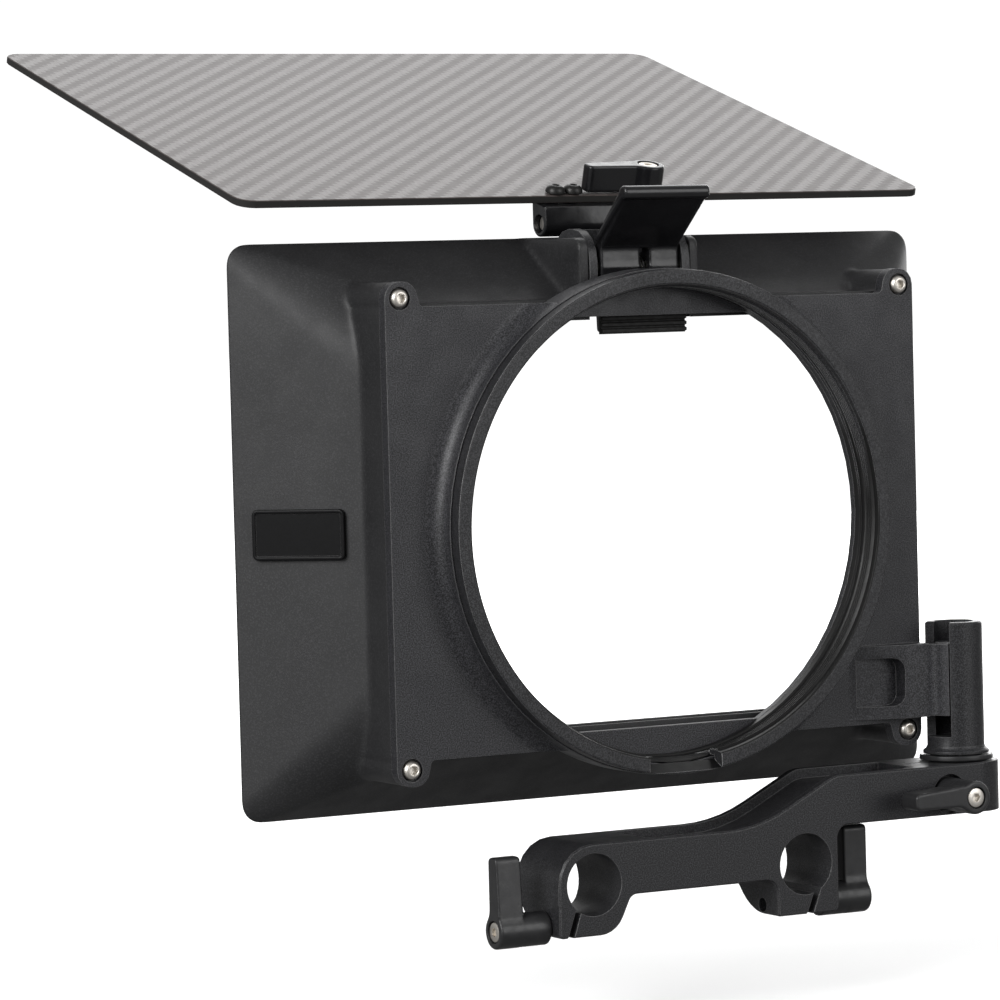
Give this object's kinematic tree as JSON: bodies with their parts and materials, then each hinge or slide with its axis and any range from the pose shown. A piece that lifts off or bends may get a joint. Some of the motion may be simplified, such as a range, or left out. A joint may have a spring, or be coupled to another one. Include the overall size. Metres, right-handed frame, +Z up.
{
  "type": "swing-away lens hood",
  "caption": "Flared rectangular lens hood with a round rear lens ring, tilting top flag, sprung filter latch and a swing-away arm that clamps on two 15 mm rods.",
  "frame": {"origin": "midway between the axes of the two 15 mm rods, in the rear face of the rod arm", "axes": "+Y along the optical axis towards the subject, +Z up, +X to the operator's right; the optical axis is 85 mm above the origin"},
  "size_m": [0.1958, 0.1938, 0.2212],
  "materials": {
    "anodised_black": "bead-blasted black anodised",
    "satin_black": "satin black die casting",
    "moulded_black": "fine-textured moulded black",
    "gloss_black": "glossy black",
    "stainless": "plain stainless",
    "black_oxide": "black oxide",
    "carbon_fibre": "twill-weave carbon-fibre sheet",
    "black_rubber": "ribbed rubber"
  },
  "bodies": {
    "arm": {"rod_arm": "anodised_black", "post_washer": "satin_black"},
    "left_lever": {"rod_lever_left": "satin_black", "rod_clamp_screw_left": "stainless"},
    "right_lever": {"rod_lever_right": "satin_black", "rod_clamp_screw_right": "stainless"},
    "post_clamp": {"post_lever": "satin_black", "post_clamp_screw": "stainless"},
    "post": {"swing_post": "anodised_black", "height_screw": "black_oxide"},
    "box": {"back_plate": "anodised_black", "lens_ring": "anodised_black", "hood_shell": "moulded_black", "badge": "moulded_black", "plate_screw_top_left": "stainless", "plate_screw_top_right": "stainless", "plate_screw_bottom_left": "stainless", "plate_screw_bottom_right": "stainless", "latch_bracket": "anodised_black", "bracket_screw_left": "black_oxide", "bracket_screw_right": "black_oxide", "latch_pin": "stainless", "latch_spring": "black_oxide", "flag_pin": "stainless"},
    "filter_latch": {"latch": "gloss_black", "latch_pad": "black_rubber"},
    "flag": {"flag_sheet": "carbon_fibre", "flag_bracket": "gloss_black", "flag_screw_left": "black_oxide", "flag_screw_right": "black_oxide"},
    "flag_clamp": {"flag_lever": "gloss_black", "flag_clamp_screw": "stainless"}
  },
  "joints": [
    {"name": "left_lever_turn", "type": "hinge", "parent": "arm", "child": "left_lever", "pos_m": [-0.0538, 0.0074, -0.0101], "axis": [1, 0, 0], "range_deg": [-180, 0]},
    {"name": "right_lever_turn", "type": "hinge", "parent": "arm", "child": "right_lever", "pos_m": [0.0514, 0.0074, -0.0101], "axis": [1, 0, 0], "range_deg": [0, 180]},
    {"name": "post_lever_turn", "type": "hinge", "parent": "arm", "child": "post_clamp", "pos_m": [0.073, -0.0115, 0.0139], "axis": [0, 1, 0], "range_deg": [-150, 0]},
    {"name": "swing_away", "type": "hinge", "parent": "arm", "child": "post", "pos_m": [0.0822, 0.0104, 0.0211], "axis": [0, 0, 1], "range_deg": [-95, 0]},
    {"name": "box_height", "type": "slide", "parent": "post", "child": "box", "axis": [0, 0, 1], "range_m": [-0.0025, 0.005]},
    {"name": "latch_press", "type": "hinge", "parent": "box", "child": "filter_latch", "pos_m": [0, 0.0254, 0.147], "axis": [1, 0, 0], "range_deg": [0, 25], "stiffness_Nm_per_rad": 0.1, "springref_deg": -17.19},
    {"name": "flag_tilt", "type": "hinge", "parent": "box", "child": "flag", "pos_m": [0, 0.0444, 0.1581], "axis": [1, 0, 0], "range_deg": [-75, 30]},
    {"name": "flag_lever_turn", "type": "hinge", "parent": "flag", "child": "flag_clamp", "pos_m": [0.0156, 0.04275, 0.17247], "axis": [0, -0.2907, 0.9568], "range_deg": [-90, 0]}
  ]
}
